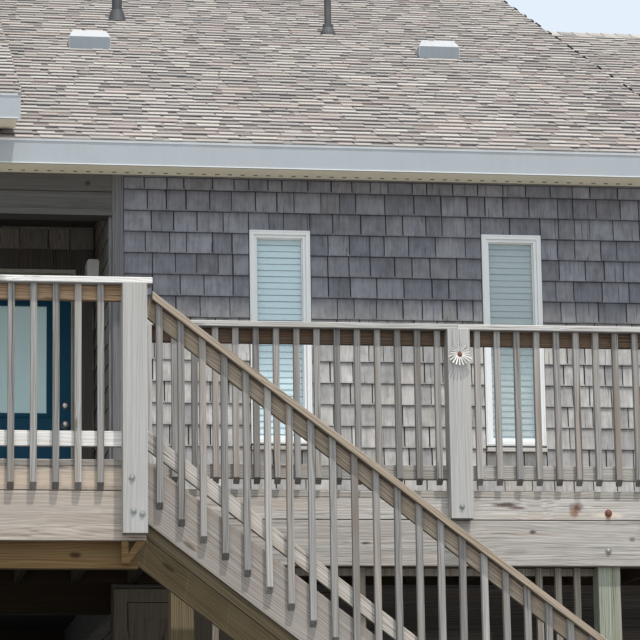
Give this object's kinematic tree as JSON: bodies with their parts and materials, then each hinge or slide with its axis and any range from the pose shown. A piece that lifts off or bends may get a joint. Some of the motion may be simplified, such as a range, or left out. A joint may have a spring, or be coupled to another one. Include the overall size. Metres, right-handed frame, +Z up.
{
  "type": "beach house",
  "caption": "Shingled beach house on pilings: gabled blocks, recessed porch, railed deck, and a landing with an outside stair.",
  "frame": {"origin": "middle of the base, on the ground", "axes": "+X to the right along the front as seen from outside, +Y into the house, +Z up"},
  "size_m": [13.6042, 17.5756, 9.4528],
  "materials": {
    "painted_trim": "satin",
    "window_white": "satin",
    "soffit": "matte",
    "roof_shingle": "rough",
    "vent_white": "satin",
    "pipe_grey": "matte",
    "glass": "clear",
    "blind": "matte",
    "teal_paint": "satin",
    "hardware": "satin",
    "treated_wood": "rough",
    "dark_wood": "rough",
    "cedar_wall": "rough",
    "frame_white": "satin",
    "weathered_wood": "rough"
  },
  "bodies": {
    "house": {"beams": "treated_wood", "corner_walls": "cedar_wall", "deck_decking": "weathered_wood", "deck_posts": "weathered_wood", "deck_rails": "weathered_wood", "deck_rim": "weathered_wood", "entry_casing": "dark_wood", "entry_frame": "frame_white", "fascia_boards": "painted_trim", "gable_walls": "cedar_wall", "house_floor": "weathered_wood", "joists": "treated_wood", "landing_bracket": "treated_wood", "landing_decking": "weathered_wood", "landing_rim": "weathered_wood", "main_walls": "cedar_wall", "picket_screen": "weathered_wood", "pilings": "weathered_wood", "porch_floor": "weathered_wood", "porch_header": "dark_wood", "porch_light": "window_white", "porch_wall_beside_door": "cedar_wall", "porch_wall_over_door": "cedar_wall", "rail_caps": "weathered_wood", "rail_posts": "weathered_wood", "rake_boards": "painted_trim", "roof_vents": "vent_white", "roofs": "roof_shingle", "soffits": "soffit", "stair_carriages": "treated_wood", "stair_rail": "weathered_wood", "stair_stringer": "weathered_wood", "stair_treads": "weathered_wood", "store_casing": "dark_wood", "store_sill": "dark_wood", "store_wall_beside_door": "dark_wood", "store_wall_over_door": "dark_wood", "store_walls": "dark_wood", "vent_pipes": "pipe_grey", "window_blinds": "blind", "window_frames": "window_white", "window_glass": "glass", "wing_walls": "cedar_wall"},
    "entry_leaf": {"entry_door": "teal_paint", "entry_door_glass": "glass", "entry_knob": "hardware"},
    "store_leaf": {"store_door": "dark_wood"}
  },
  "joints": [
    {"name": "entry_hinge", "type": "hinge", "parent": "house", "child": "entry_leaf", "pos_m": [-2.2945, -3.53123, 4.161], "axis": [0, 0, 1], "range_deg": [0, 95]},
    {"name": "store_hinge", "type": "hinge", "parent": "house", "child": "store_leaf", "pos_m": [-1.1075, -5.06822, 1.374], "axis": [0, 0, -1], "range_deg": [0, 100]}
  ]
}
